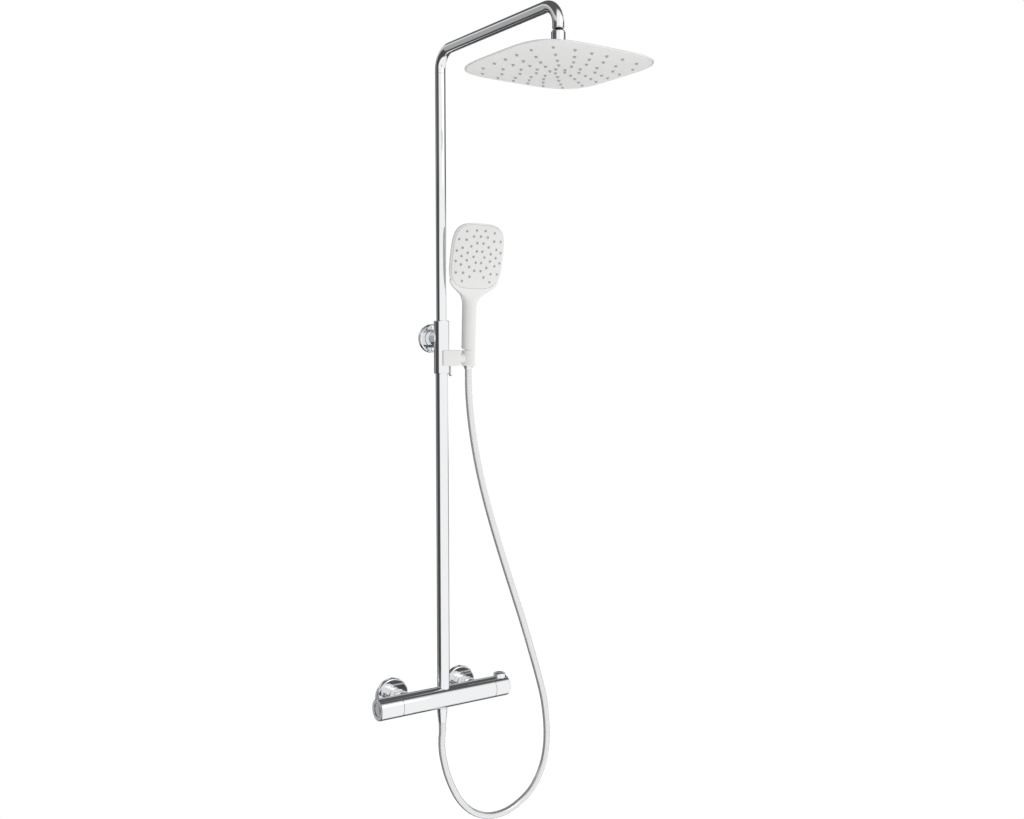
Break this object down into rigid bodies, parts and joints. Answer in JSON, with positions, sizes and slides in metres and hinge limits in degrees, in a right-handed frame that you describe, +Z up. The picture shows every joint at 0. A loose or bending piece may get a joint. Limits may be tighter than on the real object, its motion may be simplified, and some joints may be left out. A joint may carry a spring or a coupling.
{
  "type": "rainfall shower column",
  "caption": "Wall-mounted bar valve with a telescopic riser, a swivelling arm with a square overhead shower, and a hand shower on a hose in a tilting holder.",
  "frame": {"origin": "on the wall plane, midway between the two wall unions, at the height of the valve's axis", "axes": "+X along the wall to the right as one faces it, +Y into the wall, +Z up"},
  "size_m": [0.3892, 0.564, 1.4592],
  "materials": {
    "chrome": "bright polished chrome plate",
    "white_plastic": "gloss white moulding",
    "face_plastic": "satin white spray face",
    "nozzle_silicone": "soft grey silicone",
    "brass": "machined",
    "rubber": "black rubber",
    "cartridge_plastic": "moulded grey",
    "steel": "zinc-plated steel",
    "hose_silver": "smooth silver hose skin"
  },
  "bodies": {
    "valve": {"valve_body": "chrome", "flow_cartridge": "cartridge_plastic", "thermostat_cartridge": "cartridge_plastic", "temperature_stop_ring": "cartridge_plastic", "hot_union_nut": "chrome", "cold_union_nut": "chrome", "hot_filter_washer": "rubber", "cold_filter_washer": "rubber", "hot_wall_union": "brass", "cold_wall_union": "brass", "hot_rosette": "chrome", "cold_rosette": "chrome", "hot_check_valve": "cartridge_plastic", "cold_check_valve": "cartridge_plastic", "lower_riser": "chrome", "riser_sleeve": "chrome", "riser_lip_seal": "rubber", "riser_guide_bush": "cartridge_plastic", "bracket_base": "steel", "bracket_rosette": "chrome", "wall_stud": "steel", "grub_screw": "steel", "holder_arm": "white_plastic", "cup_pivot_pin": "steel", "lever_pin": "steel", "hose_nut": "chrome", "hose_washer": "rubber", "hose_lower": "hose_silver"},
    "flow_handle": {"flow_knob": "chrome", "flow_knob_cap": "chrome", "flow_spindle": "brass"},
    "temperature_handle": {"temperature_knob": "chrome", "temperature_knob_cap": "chrome", "thermostat_spindle": "brass", "button_spring": "steel"},
    "stop_button": {"safety_button": "chrome"},
    "upper_column": {"upper_riser": "chrome", "arm_spigot": "brass"},
    "overhead_arm": {"shower_arm": "chrome", "ball_stub": "brass"},
    "ball_turn_ring": {"ball_seat_upper": "nozzle_silicone"},
    "ball_tilt_ring": {"ball_seat_lower": "rubber"},
    "overhead_head": {"ball_nut": "chrome", "overhead_hub": "chrome", "overhead_shell": "white_plastic", "overhead_spray_plate": "face_plastic", "overhead_nozzle_mat": "nozzle_silicone", "overhead_strainer": "rubber"},
    "lock_lever": {"height_lever": "chrome"},
    "cup": {"holder_cup": "white_plastic"},
    "hose_end": {"hose_cone": "chrome", "hose_upper": "hose_silver"},
    "hand_shower": {"handset_shell": "white_plastic", "handset_spray_plate": "face_plastic", "handset_nozzle_mat": "nozzle_silicone", "handset_inlet": "brass"}
  },
  "joints": [
    {"name": "flow_turn", "type": "hinge", "parent": "valve", "child": "flow_handle", "pos_m": [-0.12, -0.068, 0], "axis": [1, 0, 0], "range_deg": [-90, 90]},
    {"name": "temperature_turn", "type": "hinge", "parent": "valve", "child": "temperature_handle", "pos_m": [0.12, -0.068, 0], "axis": [1, 0, 0], "range_deg": [-200, 50]},
    {"name": "safety_button_press", "type": "slide", "parent": "temperature_handle", "child": "stop_button", "axis": [0, 0, -1], "range_m": [0, 0.0025], "stiffness_N_per_m": 1500},
    {"name": "height_slide", "type": "slide", "parent": "valve", "child": "upper_column", "axis": [0, 0, 1], "range_m": [-0.2, 0.05]},
    {"name": "arm_swivel", "type": "hinge", "parent": "upper_column", "child": "overhead_arm", "pos_m": [0, -0.068, 1.15], "axis": [0, 0, 1], "range_deg": [-45, 45]},
    {"name": "head_turn", "type": "hinge", "parent": "overhead_arm", "child": "ball_turn_ring", "pos_m": [0, -0.421, 1.127], "axis": [0, 0, 1], "continuous": true},
    {"name": "head_tilt_front", "type": "hinge", "parent": "ball_turn_ring", "child": "ball_tilt_ring", "pos_m": [0, -0.421, 1.127], "axis": [1, 0, 0], "range_deg": [-10, 10]},
    {"name": "head_tilt_side", "type": "hinge", "parent": "ball_tilt_ring", "child": "overhead_head", "pos_m": [0, -0.421, 1.127], "axis": [0, 1, 0], "range_deg": [-10, 10]},
    {"name": "lock_lever_press", "type": "hinge", "parent": "valve", "child": "lock_lever", "pos_m": [0.0182, -0.068, 0.623], "axis": [0, -1, 0], "range_deg": [0, 20], "stiffness_Nm_per_rad": 0.3},
    {"name": "cup_tilt", "type": "hinge", "parent": "valve", "child": "cup", "pos_m": [0.032, -0.068, 0.6325], "axis": [1, 0, 0], "range_deg": [0, 25]},
    {"name": "handset_lift", "type": "slide", "parent": "cup", "child": "hose_end", "axis": [0, 0, 1], "range_m": [0, 0.045]},
    {"name": "handset_turn", "type": "hinge", "parent": "hose_end", "child": "hand_shower", "pos_m": [0.0585, -0.068, 0.66], "axis": [0, 0, 1], "range_deg": [-5, 120]}
  ]
}
